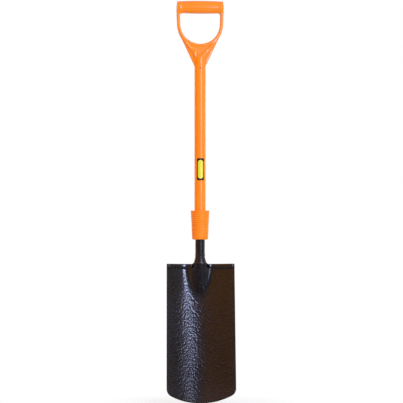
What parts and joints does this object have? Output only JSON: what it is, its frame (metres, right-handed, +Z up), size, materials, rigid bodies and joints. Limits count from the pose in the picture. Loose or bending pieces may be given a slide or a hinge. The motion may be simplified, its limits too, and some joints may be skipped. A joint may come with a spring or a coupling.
{
  "type": "trenching spade",
  "caption": "Insulated trenching spade: long dished steel blade with treads, steel shaft in an orange sheath, cone collar and moulded D handle.",
  "frame": {"origin": "on the level of the blade's tip, under the middle of the spade's width and depth, with the shaft's axis 8.7 mm behind it", "axes": "+Z up along the shaft from the blade to the D handle, -Y the front, which the hollow of the dish faces, and +X to the right as seen from the front"},
  "size_m": [0.1788, 0.0659, 1.0349],
  "materials": {
    "hammered_paint": "black hammered enamel, glossy",
    "painted_weld": "black enamel over a weld bead",
    "pin_steel": "ground",
    "painted_tube": "black enamel, satin",
    "orange_sheath": "extruded, satin gloss",
    "orange_collar": "moulded, soft satin with grip rings",
    "orange_handle": "moulded polypropylene, satin gloss",
    "handle_pin": "moulded",
    "label": "plain vinyl, yellow field in a black border"
  },
  "bodies": {
    "root": {"blade": "hammered_paint", "tread_left": "hammered_paint", "tread_right": "hammered_paint", "tread_welds": "painted_weld", "shank": "hammered_paint", "shank_weld": "painted_weld", "shank_pin": "pin_steel", "shaft_tube": "painted_tube", "sheath": "orange_sheath", "collar": "orange_collar", "d_handle": "orange_handle", "handle_pin": "handle_pin", "label": "label"}
  },
  "joints": []
}
